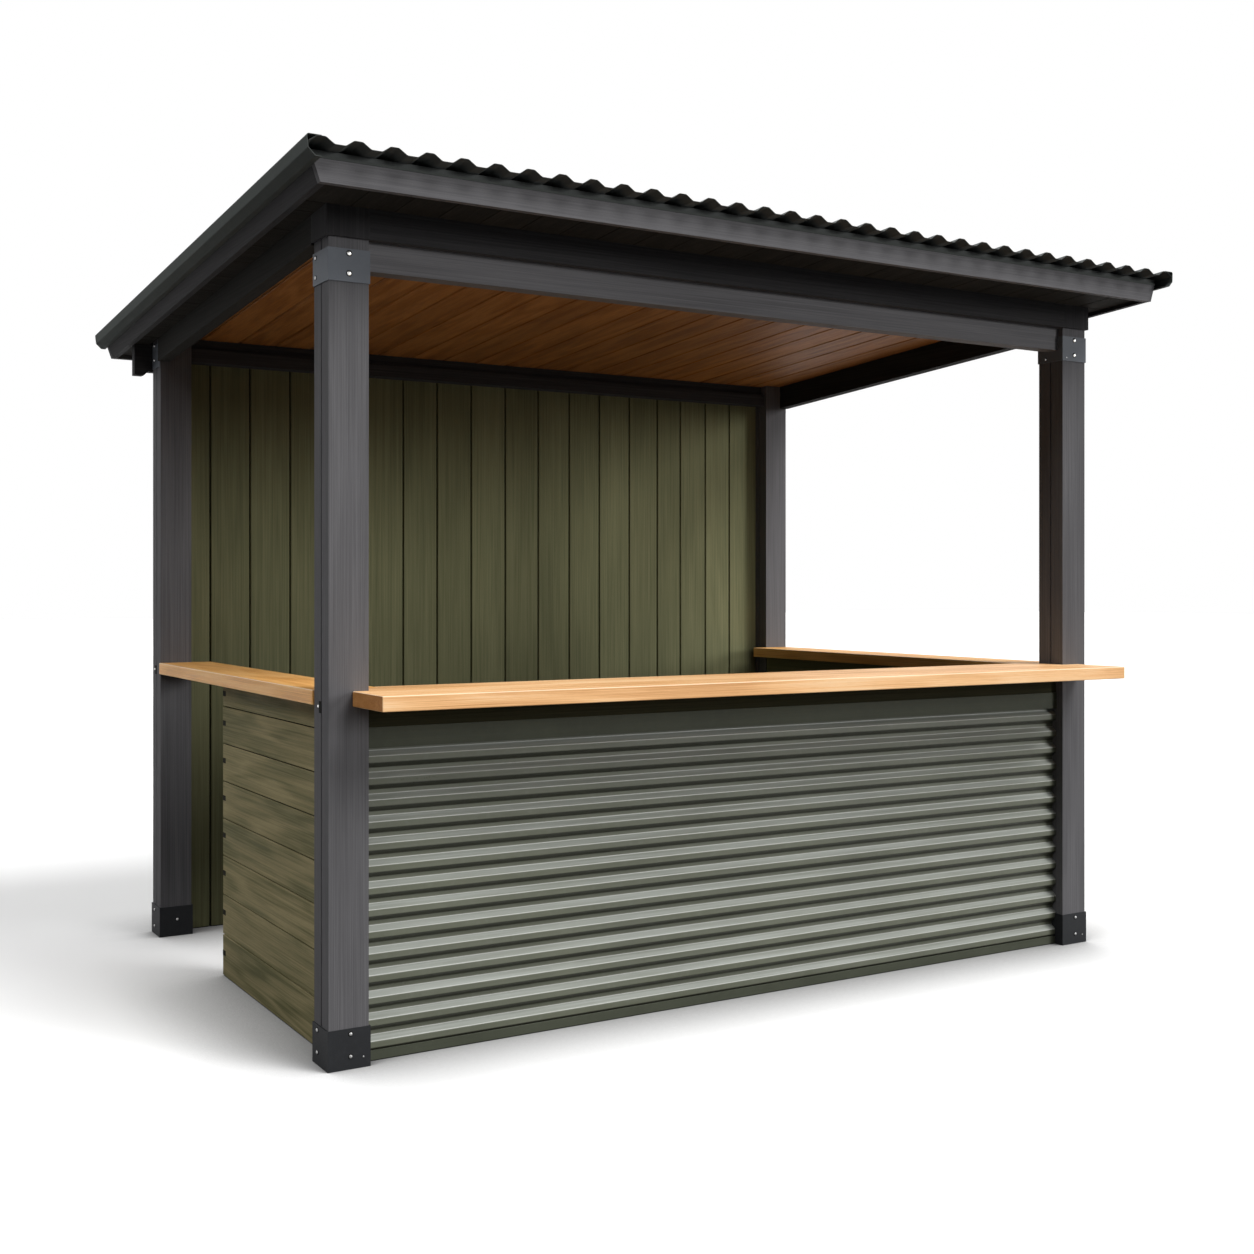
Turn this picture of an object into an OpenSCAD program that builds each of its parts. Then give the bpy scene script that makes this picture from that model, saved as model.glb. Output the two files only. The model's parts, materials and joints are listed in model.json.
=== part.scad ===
// Garden bar pavilion: four square posts under a low lean-to roof of ribbed metal sheet, with a
// full back wall, three half walls and a bar top that runs round three sides. Lengths are in
// millimetres. The plan is drawn with X from the centre line, Y from the front face of the front
// posts towards the back, and Z up from the ground, and is then moved so that the origin lies
// under the centre of the whole outline.

/* [Frame] */
// Width over the posts, left to right
frame_w = 3050; // [2400:10:3600]
// Depth over the posts, front to back
frame_d = 2030; // [1700:10:2600]
// Side of a square post
post_w = 120; // [100:1:150]
// Width of the groove down the middle of each post's side faces
groove_w = 6; // [3:0.5:12]
// Depth of that groove
groove_d = 5; // [2:0.5:10]
// Height of the front posts' tops above the ground
ring_z = 2366; // [2200:1:2600]
// Clearance of pieces that are slipped into place beside each other
fit = 0.3; // [0.1:0.1:0.8]

/* [Post fittings] */
// Height of a steel post shoe
shoe_h = 116; // [60:1:200]
// Plate thickness of a shoe
shoe_t = 4; // [2:0.5:8]
// Height of a bracket round a front post's top
bracket_h = 94; // [60:1:140]
// Distance from a front bracket's top edge to the post's top
bracket_drop = 32; // [10:1:60]
// Plate thickness of a bracket
bracket_t = 3; // [2:0.5:6]
// Height of the bracket plate on a back post
plate_h = 94; // [60:1:140]
// Distance from that plate's top edge down from the soffit
plate_drop = 4; // [2:1:20]

/* [Beams] */
// Height of the lower front beam
front_beam_h = 85; // [60:1:120]
// Thickness of the lower front beam
front_beam_t = 60; // [40:1:90]
// Depth that the lower front beam stands behind the posts' faces
front_beam_in = 20; // [5:1:30]
// Thickness of the front header
header_t = 60; // [40:1:90]
// Distance that the header, its end caps and the side beams stand proud of the posts
ring_proud = 10; // [2:1:20]
// Thickness of a side beam
side_beam_t = 45; // [35:1:80]
// Height of the strip under the back header
back_beam_h = 53; // [40:1:80]
// Thickness of that strip
back_beam_t = 72; // [50:1:75]
// Distance of the strip's top edge below the ceiling
back_beam_drop = 38; // [20:1:60]
// Thickness of the back header
back_header_t = 45; // [35:1:60]
// Thickness of the beam behind the back posts
rear_beam_t = 42; // [30:1:60]
// Height of that beam, below the soffit
rear_beam_h = 106; // [80:1:140]
// Distance that the rear beam runs past the posts
rear_beam_over = 72; // [40:1:80]
// Length of the deeper nose at each end of the rear beam
nose_l = 36; // [20:1:50]
// Extra height of that nose
nose_h = 16; // [8:1:24]

/* [Roof] */
// Fall of the roof towards the back, in degrees
roof_pitch = 3.3; // [2:0.1:6]
// Height of the ceiling's underside at the front face of the posts, above the posts' tops
ceiling_rise = 106; // [80:1:140]
// Thickness of the ceiling boards
ceiling_t = 16; // [12:1:24]
// Height of a roof batten
batten_h = 34; // [20:1:60]
// Width of a roof batten
batten_w = 48; // [30:1:70]
// Number of roof battens
batten_n = 6; // [4:1:8]
// Distance of the soffit's underside below the ceiling's
soffit_drop = 20; // [14:1:30]
// Thickness of the soffit boards
soffit_t = 12; // [8:1:13]
// Distance from the posts to the front fascia's face
front_over = 228; // [180:1:320]
// Distance from the posts to the back fascia's face
back_over = 262; // [180:1:320]
// Distance from the posts to the lower edge of a barge board
side_over = 105; // [90:1:160]
// Thickness of the fascia boards
fascia_t = 22; // [16:1:30]
// Height of the front fascia
fascia_h = 69; // [55:1:72]
// Distance that the fascias and barge boards hang below the soffit
fascia_reveal = 14; // [5:1:30]
// Thickness of a barge board
barge_t = 20; // [15:1:30]
// Outward lean of a barge board over its height
barge_lean = 28; // [0:1:30]

/* [Roofing] */
// Distance that the sheets run in front of the posts
sheet_front_over = 283; // [250:1:360]
// Distance that the sheets run behind the posts
sheet_back_over = 300; // [280:1:380]
// Distance that the sheets run out beyond the barge boards' lower edges
verge_over = 51; // [40:1:80]
// Thickness of the roofing sheet
sheet_t = 1; // [0.6:0.1:1.5]
// Ribs across the whole roof
rib_n = 33; // [25:1:37]
// Ribs from the middle of the roof to a side lap of the middle sheet
lap_ribs = 2; // [1:1:6]
// Height of a rib
rib_h = 17; // [10:0.5:25]
// Width of a rib at its foot
rib_foot = 72; // [56:1:76]
// Width of the top of a rib
rib_top = 24; // [18:1:30]
// Radius of a rib's bends
rib_r = 12; // [4:1:14]
// Flat edge of a sheet beyond the rib of a side lap
lap_edge = 10; // [5:1:14]
// Thickness of the flashing and trim metal
flash_t = 1.5; // [1:0.1:2.5]
// Height of a verge flashing's face, from its top down
flash_h = 38; // [30:1:42]
// Outward lean of a verge flashing's face
flash_lean = 4; // [0:1:8]
// Drop of the slanted fold between that face and the hem that runs in to the barge board
hem_drop = 20; // [12:1:22]
// Radius of a verge flashing's bends
flash_r = 6; // [3:0.5:8]
// Height of the lip of the eave trim over the fascia
eave_lip = 6; // [3:1:15]
// Thickness of the filler between eave trim and sheets
filler_t = 16; // [10:1:20]

/* [Walls] */
// Height of the bar top above the ground
bar_z = 1075; // [950:1:1200]
// Gap between the walls and the ground
wall_lift = 3; // [1:1:20]
// Thickness of the back wall's boards
back_wall_t = 33; // [20:1:40]
// Depth that the corrugated panel stands behind the posts' front faces
panel_in = 34; // [20:1:40]
// Pitch of the corrugations
wave_pitch = 63.5; // [50:0.5:90]
// Depth of the corrugations
wave_d = 18; // [12:0.5:22]
// Height of a corrugation's flat crest
wave_crest = 20; // [14:1:24]
// Height of the flat between two corrugations
wave_flat = 14; // [10:1:18]
// Radius of the corrugations' bends
wave_r = 5; // [2:0.5:6]
// Thickness of the corrugated panel
panel_t = 1; // [0.6:0.1:1.5]
// Height of the base trim under the corrugated panel
base_h = 27; // [15:1:50]
// Height of the flat trim over the corrugated panel
trim_h = 60; // [40:1:80]
// Thickness of that trim
trim_t = 4; // [2:0.5:8]
// Distance from the bar top's underside to that trim
trim_drop = 65; // [45:1:90]
// Depth that the side half walls stand behind the posts' outer faces
side_wall_in = 47; // [20:1:50]
// Thickness of the outer boards of a side half wall
board_t = 20; // [12:1:24]
// Depth of the studs and rails in the half walls
stud_d = 38; // [30:1:42]
// Width of a stud
stud_w = 45; // [35:1:60]
// Thickness of the lining inside the half walls
lining_t = 12; // [9:1:16]
// Length of the left half wall, from the front post
left_wall_l = 1096; // [700:1:1400]
// Largest distance between studs
stud_step = 600; // [400:10:800]

/* [Bar tops] */
// Thickness of the bar tops
bar_t = 44; // [30:1:60]
// Distance that the front bar top runs out in front of the posts
bar_front_over = 228; // [120:1:300]
// Distance of the front bar top's left end inside the left posts' outer faces
bar_left_in = 71; // [20:1:100]
// Distance of its right end inside the right posts' outer faces
bar_right_in = 38; // [20:1:100]
// Depth of the front bar top behind the posts' front faces
bar_front_in = 160; // [150:1:260]
// Distance that a side bar top stands proud of the posts
bar_side_over = 6; // [0:1:40]
// Distance of a side bar top's inner edge from the posts' outer faces
bar_side_in = 198; // [170:1:300]
// Open joint between bar tops
bar_joint = 0.5; // [0.2:0.1:0.9]

/* [Hidden] */
$fn = 48;

// Half of the frame's width, and the inner faces of the posts
half_w = frame_w / 2;
inner_x = half_w - post_w;
inner_back_y = frame_d - post_w;

// Roof planes, as heights at the distance y behind the posts' front faces
fall = tan(roof_pitch);
function ceiling_under(y) = ring_z + ceiling_rise - y * fall;
function soffit_under(y) = ceiling_under(y) - soffit_drop / cos(roof_pitch);
function sheet_under(y) = ceiling_under(y) + (ceiling_t + batten_h) / cos(roof_pitch);
sheet_z = sheet_under(0);
ceiling_n = -batten_h - ceiling_t;
soffit_n = ceiling_n - soffit_drop;

// Fascia faces, and the lower edges of fascias and barge boards
fascia_back_y = -front_over + fascia_t;
rear_fascia_y = frame_d + back_over - fascia_t;
fascia_z = soffit_under(fascia_back_y) - fascia_reveal;
rear_fascia_z = soffit_under(rear_fascia_y) - fascia_reveal;
barge_n = soffit_n - fascia_reveal;
barge_h = -flash_t - barge_n;
barge_in_x = half_w + side_over - barge_t;
soffit_half_w = barge_in_x + barge_lean * fascia_reveal / barge_h;

// Distance of a barge board's outer face from the middle, at the height n over the sheets' plane
function barge_face(n) = half_w + side_over + barge_lean * (n - barge_n) / barge_h;

// Ribs of the roofing sheets
sheet_half_w = half_w + side_over + verge_over;
rib_pitch = (2 * sheet_half_w - rib_foot) / (rib_n - 1);
rib_mid = (rib_n - 1) / 2;
lap_left = floor(rib_mid) - lap_ribs;
lap_right = ceil(rib_mid) + lap_ribs;
rib_out = rib_h + sheet_t;
sheet_front_u = -sheet_front_over / cos(roof_pitch);
sheet_back_u = (frame_d + sheet_back_over) / cos(roof_pitch);

// Top, foot and hem of the verge flashings, over the sheets' plane
flash_top_n = rib_out + flash_t;
flash_foot_n = flash_top_n - flash_h;
hem_n = flash_foot_n - hem_drop;

// Levels of the half walls
bar_under = bar_z - bar_t;
trim_top = bar_under - trim_drop;
panel_top = trim_top - trim_h / 2;
panel_foot = wall_lift + base_h + fit;
panel_depth = wave_d + panel_t;
front_frame_y = panel_in + panel_depth;
side_frame_x = half_w - side_wall_in - board_t;
left_wall_end = post_w + left_wall_l;
beam_gap = bracket_t + 2 * fit;

// Outline of the whole, which puts the origin under its centre
outline_front = sheet_front_u * cos(roof_pitch) + hem_n * sin(roof_pitch);
outline_back = sheet_back_u * cos(roof_pitch) + max(flash_top_n, rib_out + sheet_t) * sin(roof_pitch);
plan_mid = (outline_front + outline_back) / 2;

// Colours of the finishes
charcoal = "#3d3c3d";
steel = "#1f2022";
plate_steel = "#33363a";
roof_metal = "#2b2e2f";
dark_board = "#2a2724";
cedar = "#8a5429";
oak = "#d3a064";
olive = "#4c4e38";
sage = "#6f756a";
pine = "#b59a6e";

// Moves what is drawn on the plan to the part's own origin
module in_place() {
    translate([0, -plan_mid, 0]) children();
}

// Lays what is drawn flat on the plane under the roofing sheets, with Y down the slope
module on_roof() {
    translate([0, 0, sheet_z]) rotate([-roof_pitch, 0, 0]) children();
}

// A straight piece along X, from x0 to x1, with its outline given as points of Y and Z
module along_x(x0, x1, outline) {
    translate([x0, 0, 0]) rotate([90, 0, 90]) linear_extrude(x1 - x0) polygon(outline);
}

// A straight piece along Y, from y0 to y1, with its outline given as points of X and Z
module along_y(y0, y1, outline) {
    translate([0, y1, 0]) rotate([90, 0, 0]) linear_extrude(y1 - y0) polygon(outline);
}

// A block between two corners
module block(low, high) {
    translate(low) cube(high - low);
}

// Steps round a bend
bend_steps = 3;

// Points round the bend at the corner b of a path from a to c. Its radius is most, or less where
// the bend would take more than half of the shorter side.
function bend(a, b, c, most) =
    let (
        u = (a - b) / norm(a - b),
        v = (c - b) / norm(c - b),
        half = acos(u * v) / 2,
        r = min(most, min(norm(a - b), norm(c - b)) / 2 * tan(half)),
        mid = b + (u + v) / norm(u + v) * r / sin(half),
        from = b + u * r / tan(half) - mid,
        to = b + v * r / tan(half) - mid,
        turn = atan2(cross(from, to), from * to)
    )
    [
        for (i = [0 : bend_steps])
            let (w = turn * i / bend_steps)
            mid + [from[0] * cos(w) - from[1] * sin(w), from[0] * sin(w) + from[1] * cos(w)]
    ];

// A path with all its corners bent to the radius r
function bent(path, r) = [
    path[0],
    for (i = [1 : len(path) - 2]) each bend(path[i - 1], path[i], path[i + 1], r),
    path[len(path) - 1]
];

// The points of a path in reverse
function back(path) = [for (i = [len(path) - 1 : -1 : 0]) path[i]];

// Repeats a piece of the left side on the right side
module on_right() {
    mirror([1, 0, 0]) children();
}

// Room that the walls leave for the four post shoes
module shoe_room() {
    reach = shoe_t + 2 * fit;
    for (x = [-half_w, inner_x], y = [0, inner_back_y])
        block([x - reach, y - reach, -fit], [x + post_w + reach, y + post_w + reach, shoe_h + fit]);
}

// Outline of a post, with a groove down each side face
module post_outline() {
    difference() {
        square(post_w);
        translate([-groove_w, post_w / 2 - groove_w / 2]) square([groove_w + groove_d, groove_w]);
        translate([post_w - groove_d, post_w / 2 - groove_w / 2]) square([groove_w + groove_d, groove_w]);
    }
}

// A front post, whose flat top carries the header's cap
module front_post(x) {
    color(charcoal) in_place() translate([x, 0, shoe_t]) linear_extrude(ring_z - shoe_t) post_outline();
}

// A back post, cut to the slope under the ceiling boards
module back_post(x) {
    y = inner_back_y;
    color(charcoal) in_place() intersection() {
        translate([x, y, shoe_t]) linear_extrude(ring_z - shoe_t) post_outline();
        along_x(x - fit, x + post_w + fit, [
            [y - fit, 0], [frame_d + fit, 0],
            [frame_d + fit, ceiling_under(frame_d + fit)], [y - fit, ceiling_under(y - fit)]
        ]);
    }
}

// A steel shoe: a square box with a floor that the post stands on
module shoe(x, y) {
    color(steel) in_place() translate([x, y, 0]) difference() {
        block([-shoe_t - fit, -shoe_t - fit, 0], [post_w + shoe_t + fit, post_w + shoe_t + fit, shoe_h]);
        block([-fit, -fit, shoe_t], [post_w + fit, post_w + fit, shoe_h + shoe_t]);
    }
}

// A bracket: four plates round the top of a front post
module front_bracket(x) {
    top = ring_z - bracket_drop;
    out = bracket_t + fit;
    color(plate_steel) in_place() translate([x, 0, 0]) difference() {
        block([-out, -out, top - bracket_h], [post_w + out, post_w + out, top]);
        block([-fit, -fit, top - bracket_h - fit], [post_w + fit, post_w + fit, top + fit]);
    }
}

// The plate on the outer face of each back post
module brackets_back() {
    top = soffit_under(frame_d) - plate_drop;
    color(plate_steel) in_place() for (side = [0, 1]) mirror([side, 0, 0])
        block([-half_w - bracket_t, inner_back_y + bracket_t, top - plate_h],
              [-half_w, frame_d - bracket_t, top]);
}

// The lower front beam, between the brackets and under the header
module front_beam() {
    half = inner_x - beam_gap;
    color(charcoal) in_place()
        block([-half, front_beam_in, ring_z - front_beam_h], [half, front_beam_in + front_beam_t, ring_z]);
}

// Outline from a level underside up to the slope of the ceiling, between two distances
function to_ceiling(y0, y1, z) = [[y0, z], [y1, z], [y1, ceiling_under(y1)], [y0, ceiling_under(y0)]];

// The header over the lower front beam
module front_header() {
    color(charcoal) in_place()
        along_x(-inner_x, inner_x, to_ceiling(-ring_proud, header_t - ring_proud, ring_z));
}

// The block on top of each front post, at the header's ends
module header_caps() {
    color(charcoal) in_place() for (side = [0, 1]) mirror([side, 0, 0])
        along_x(-half_w - ring_proud, -inner_x, to_ceiling(-ring_proud, post_w, ring_z));
}

// A side beam between front and back post, sloping with the roof
module side_beam() {
    x0 = -half_w - ring_proud;
    y1 = inner_back_y;
    color(charcoal) in_place() along_x(x0, x0 + side_beam_t, [
        [post_w, ring_z - post_w * fall], [y1, ring_z - y1 * fall],
        [y1, ceiling_under(y1)], [post_w, ceiling_under(post_w)]
    ]);
}

// The strip under the back header, in front of the back wall's boards
module back_beam() {
    y1 = frame_d - back_wall_t;
    top = ceiling_under(y1) - back_beam_drop;
    color(charcoal) in_place()
        block([-inner_x, y1 - back_beam_t, top - back_beam_h], [inner_x, y1, top]);
}

// The back header, between the strip and the ceiling
module back_header() {
    y1 = frame_d - back_wall_t;
    color(charcoal) in_place() along_x(-inner_x, inner_x,
        to_ceiling(y1 - back_header_t, y1, ceiling_under(y1) - back_beam_drop));
}

// The beam behind the back posts, with a deeper nose at each end
module rear_beam() {
    x1 = half_w + rear_beam_over;
    y0 = frame_d;
    y1 = frame_d + rear_beam_t;
    z0 = soffit_under(y0) - rear_beam_h;
    high = soffit_under(y0 - rear_beam_t);
    color(charcoal) in_place() intersection() {
        along_y(y0, y1, [
            [-x1, z0 - nose_h], [-x1 + nose_l, z0 - nose_h], [-x1 + nose_l + nose_h, z0],
            [x1 - nose_l - nose_h, z0], [x1 - nose_l, z0 - nose_h], [x1, z0 - nose_h],
            [x1, high], [-x1, high]
        ]);
        along_x(-x1 - fit, x1 + fit, [
            [y0 - fit, z0 - 2 * nose_h], [y1 + fit, z0 - 2 * nose_h],
            [y1 + fit, soffit_under(y1 + fit)], [y0 - fit, soffit_under(y0 - fit)]
        ]);
    }
}

// The ceiling boards over the bar, laid on the beams
module ceiling() {
    x1 = half_w + ring_proud;
    y0 = -ring_proud / cos(roof_pitch);
    y1 = frame_d / cos(roof_pitch);
    color(cedar) in_place() on_roof() block([-x1, y0, ceiling_n], [x1, y1, -batten_h]);
}

// The dark boards under the four overhangs
module soffit() {
    x0 = half_w + ring_proud;
    x1 = soffit_half_w - fit;
    y_front = fascia_back_y / cos(roof_pitch) + soffit_t * fall;
    y_rear = rear_fascia_y / cos(roof_pitch) + soffit_t * fall;
    y0 = -ring_proud / cos(roof_pitch);
    y1 = (frame_d + fit) / cos(roof_pitch) - soffit_n * fall;
    n1 = soffit_n + soffit_t;
    color(dark_board) in_place() on_roof() {
        block([-x1, y_front - soffit_n * fall, soffit_n], [x1, y0 - soffit_n * fall, n1]);
        for (side = [0, 1]) mirror([side, 0, 0])
            block([-x1, y0 - soffit_n * fall + fit, soffit_n], [-x0, y1 - fit, n1]);
        block([-x1, y1, soffit_n], [x1, y_rear - soffit_n * fall - 2 * soffit_t * fall, n1]);
    }
}

// The battens across the slope, which carry the sheets
module roof_battens() {
    x1 = barge_in_x - fit;
    first = (fascia_back_y + fit) / cos(roof_pitch) + batten_h * fall;
    last = (rear_fascia_y - fit) / cos(roof_pitch) - batten_w;
    color(pine) in_place() on_roof() for (i = [0 : batten_n - 1]) {
        y = first + i * (last - first) / (batten_n - 1);
        block([-x1, y, -batten_h], [x1, y + batten_w, 0]);
    }
}

// Corners of one rib's underside at x, from foot to foot
function rib(x) = [
    [x - rib_foot / 2, 0], [x - rib_top / 2, rib_h], [x + rib_top / 2, rib_h], [x + rib_foot / 2, 0]
];

// A sheet from rib i0 to rib i1, with a flat edge beyond each, raised by lift
module roof_sheet(i0, i1, edge0, edge1, lift) {
    ribs = [for (i = [i0 : i1]) each rib((i - rib_mid) * rib_pitch)];
    low = bent(concat(
        edge0 > 0 ? [[ribs[0][0] - edge0, 0]] : [],
        ribs,
        edge1 > 0 ? [[ribs[len(ribs) - 1][0] + edge1, 0]] : []
    ), rib_r);
    high = [for (p = back(low)) p + [0, sheet_t]];
    color(roof_metal) in_place() on_roof() translate([0, 0, lift])
        along_y(sheet_front_u, sheet_back_u, concat(low, high));
}

// The space between the outer faces of the two barge boards
module between_barges() {
    long = frame_d + front_over + back_over;
    low = 2 * barge_n;
    on_roof() along_y(-long, 2 * long, [
        [-barge_face(low), low], [barge_face(low), low], [barge_face(rib_h), rib_h], [-barge_face(rib_h), rib_h]
    ]);
}

// The lipped metal trim along the top of the front fascia
module eave_trim() {
    top = fascia_z + fascia_h;
    color(roof_metal) in_place() intersection() {
        along_x(-sheet_half_w, sheet_half_w, [
            [-front_over - flash_t, top - eave_lip], [-front_over, top - eave_lip], [-front_over, top],
            [fascia_back_y, top], [fascia_back_y, top + flash_t], [-front_over - flash_t, top + flash_t]
        ]);
        between_barges();
    }
}

// The filler strip between the eave trim and the sheets
module eave_filler() {
    y0 = fascia_back_y - filler_t;
    z0 = fascia_z + fascia_h + flash_t;
    color(steel) in_place() intersection() {
        along_x(-sheet_half_w, sheet_half_w, [
            [y0, z0], [fascia_back_y, z0], [fascia_back_y, sheet_under(fascia_back_y)], [y0, sheet_under(y0)]
        ]);
        between_barges();
    }
}

// The folded flashing down the left edge of the roof: a flange on the first rib, a leaning face,
// a slanted fold, and a hem that runs in to the barge board
module verge_flashing() {
    rib_x = rib_foot / 2 - sheet_half_w;
    face_x = -sheet_half_w - flash_t - fit;
    fold_x = face_x + hem_drop;
    hem_x = -barge_face(hem_n + flash_t) - fit;
    slim = flash_t * tan(45 / 2);
    outside = [
        [rib_x, flash_top_n], [face_x - flash_lean, flash_top_n], [face_x, flash_foot_n],
        [fold_x, hem_n], [hem_x, hem_n]
    ];
    inside = [
        [rib_x, rib_out], [face_x - flash_lean + flash_t, rib_out], [face_x + flash_t, flash_foot_n + slim],
        [fold_x + slim, hem_n + flash_t], [hem_x, hem_n + flash_t]
    ];
    color(roof_metal) in_place() on_roof() along_y(sheet_front_u, sheet_back_u,
        concat(bent(outside, flash_r), back(bent(inside, flash_r - flash_t))));
}

// The board across the front eave, with its ends flush with the barge boards' faces
module front_fascia() {
    color(charcoal) in_place() intersection() {
        block([-sheet_half_w, -front_over, fascia_z], [sheet_half_w, fascia_back_y, fascia_z + fascia_h]);
        between_barges();
    }
}

// The board across the back eave, cut to the slope under the sheets
module back_fascia() {
    y0 = rear_fascia_y;
    y1 = y0 + fascia_t;
    color(charcoal) in_place() intersection() {
        along_x(-sheet_half_w, sheet_half_w, [
            [y0, rear_fascia_z], [y1, rear_fascia_z], [y1, sheet_under(y1)], [y0, sheet_under(y0)]
        ]);
        between_barges();
    }
}

// The leaning board down the left edge of the roof, between the two fascias
module barge() {
    x0 = -half_w - side_over;
    long = frame_d + front_over + back_over;
    color(charcoal) in_place() intersection() {
        on_roof() along_y(-long, 2 * long, [
            [x0, barge_n], [x0 + barge_t, barge_n],
            [x0 + barge_t - barge_lean, -flash_t], [x0 - barge_lean, -flash_t]
        ]);
        block([x0 - 2 * barge_lean, fascia_back_y, 0], [x0 + 2 * barge_t, rear_fascia_y, sheet_z + long]);
    }
}

// The boarded back wall, between the back posts
module back_wall() {
    color(olive) in_place() difference() {
        along_x(-inner_x, inner_x, to_ceiling(frame_d - back_wall_t, frame_d, wall_lift));
        shoe_room();
    }
}

// Corners of one corrugation's face as points of Y and Z, from the crest's middle at height z down
function wave(z) =
    let (slope_h = (wave_pitch - wave_crest - wave_flat) / 2)
    [
        [panel_in, z - wave_crest / 2],
        [panel_in + wave_d, z - wave_crest / 2 - slope_h],
        [panel_in + wave_d, z - wave_crest / 2 - slope_h - wave_flat],
        [panel_in, z - wave_pitch + wave_crest / 2]
    ];

// The corrugated metal panel of the front half wall
module front_panel() {
    count = ceil((panel_top - panel_foot) / wave_pitch);
    face = bent(concat(
        [[panel_in, panel_top]],
        [for (i = [0 : count - 1]) each wave(panel_top - i * wave_pitch)],
        [[panel_in, panel_top - count * wave_pitch]]
    ), wave_r);
    rear = [for (p = back(face)) p + [panel_t, 0]];
    color(sage) in_place() difference() {
        along_x(-inner_x, inner_x, concat(face, rear));
        block([-frame_w, 0, -frame_w], [frame_w, frame_d, panel_foot]);
        shoe_room();
    }
}

// The flat trim that covers the panel's top edge, and the base trim that the panel stands on
module front_trims() {
    color(sage) in_place() {
        block([-inner_x, panel_in - trim_t, trim_top - trim_h], [inner_x, panel_in, trim_top]);
        difference() {
            block([-inner_x, panel_in, wall_lift], [inner_x, front_frame_y, wall_lift + base_h]);
            shoe_room();
        }
    }
}

// Two rails of a half wall of length l along X, standing on y = 0, with the studs between them
module stud_frame(l, top) {
    bays = ceil((l - stud_w) / stud_step);
    stud_z = wall_lift + stud_w + fit;
    translate([0, 0, wall_lift]) cube([l, stud_d, stud_w]);
    translate([0, 0, top - stud_w]) cube([l, stud_d, stud_w]);
    for (i = [0 : bays]) translate([i * (l - stud_w) / bays, 0, stud_z])
        cube([stud_w, stud_d, top - stud_w - fit - stud_z]);
}

// The frame of the front half wall, with the rail that carries the trim
module front_wall_frame() {
    color(olive) in_place() difference() {
        union() {
            translate([-inner_x, front_frame_y, 0]) stud_frame(2 * inner_x, trim_top - fit);
            block([-inner_x, panel_in, trim_top], [inner_x, front_frame_y + stud_d, bar_under]);
        }
        shoe_room();
    }
}

// The frame of a side half wall, from the front post to the distance y1
module side_wall_frame(y1) {
    color(olive) in_place() difference() {
        translate([-side_frame_x + stud_d, post_w, 0]) rotate([0, 0, 90])
            stud_frame(y1 - post_w, bar_under);
        shoe_room();
    }
}

// The outer boards of a side half wall, from the front post to the distance y1
module side_wall_boards(y1) {
    color(olive) in_place() difference() {
        block([-side_frame_x - board_t, post_w, wall_lift], [-side_frame_x, y1, bar_under]);
        shoe_room();
    }
}

// The lining boards inside the three half walls
module wall_lining() {
    x0 = side_frame_x - stud_d;
    y0 = front_frame_y + stud_d;
    color(olive) in_place() difference() {
        union() {
            block([-inner_x, y0, wall_lift], [inner_x, y0 + lining_t, bar_under]);
            block([-x0, post_w, wall_lift], [-x0 + lining_t, left_wall_end, bar_under]);
            block([x0 - lining_t, post_w, wall_lift], [x0, inner_back_y, bar_under]);
        }
        shoe_room();
    }
}

// The front bar top, notched round the front posts
module front_counter() {
    left = -half_w + bar_left_in;
    right = half_w - bar_right_in;
    post_x = inner_x - fit;
    side_x = half_w - bar_side_in;
    color(oak) in_place() translate([0, 0, bar_under]) linear_extrude(bar_t) polygon([
        [left, -bar_front_over], [right, -bar_front_over], [right, -fit], [post_x, -fit],
        [post_x, post_w], [side_x, post_w], [side_x, bar_front_in], [-side_x, bar_front_in],
        [-side_x, post_w], [-post_x, post_w], [-post_x, -fit], [left, -fit]
    ]);
}

// A side bar top, from the front bar top to the back post
module side_counter() {
    color(oak) in_place() block(
        [-half_w - bar_side_over, post_w + bar_joint, bar_under],
        [-half_w + bar_side_in - bar_joint, inner_back_y - fit, bar_z]
    );
}

front_post(-half_w);  // post_front_left
front_post(inner_x);  // post_front_right
back_post(-half_w);  // post_back_left
back_post(inner_x);  // post_back_right
shoe(-half_w, 0);  // shoe_front_left
shoe(inner_x, 0);  // shoe_front_right
shoe(-half_w, inner_back_y);  // shoe_back_left
shoe(inner_x, inner_back_y);  // shoe_back_right
front_bracket(-half_w);  // bracket_front_left
front_bracket(inner_x);  // bracket_front_right
brackets_back();
front_beam();
front_header();
header_caps();
side_beam();  // left_beam
on_right() side_beam();  // right_beam
back_beam();
back_header();
rear_beam();
ceiling();
soffit();
roof_battens();
roof_sheet(0, lap_left, 0, lap_edge, 0);  // roof_sheet_left
roof_sheet(lap_left, lap_right, lap_edge, lap_edge, sheet_t);  // roof_sheet_middle
roof_sheet(lap_right, rib_n - 1, lap_edge, 0, 0);  // roof_sheet_right
eave_trim();
eave_filler();
verge_flashing();  // verge_flashing_left
on_right() verge_flashing();  // verge_flashing_right
front_fascia();
back_fascia();
barge();  // left_barge
on_right() barge();  // right_barge
back_wall();
front_panel();
front_trims();
front_wall_frame();
side_wall_boards(left_wall_end);  // left_wall_boards
side_wall_frame(left_wall_end);  // left_wall_frame
on_right() side_wall_boards(inner_back_y);  // right_wall_boards
on_right() side_wall_frame(inner_back_y);  // right_wall_frame
wall_lining();
front_counter();
side_counter();  // left_counter
on_right() side_counter();  // right_counter
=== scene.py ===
"""Looks of a garden bar pavilion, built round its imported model.

Lengths are in metres. Sizes are given on the builder's plan, with X from the centre line, Y from
the front face of the front posts towards the back, and Z up from the ground. Site.place moves what
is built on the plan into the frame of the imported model.
"""

from __future__ import annotations

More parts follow.
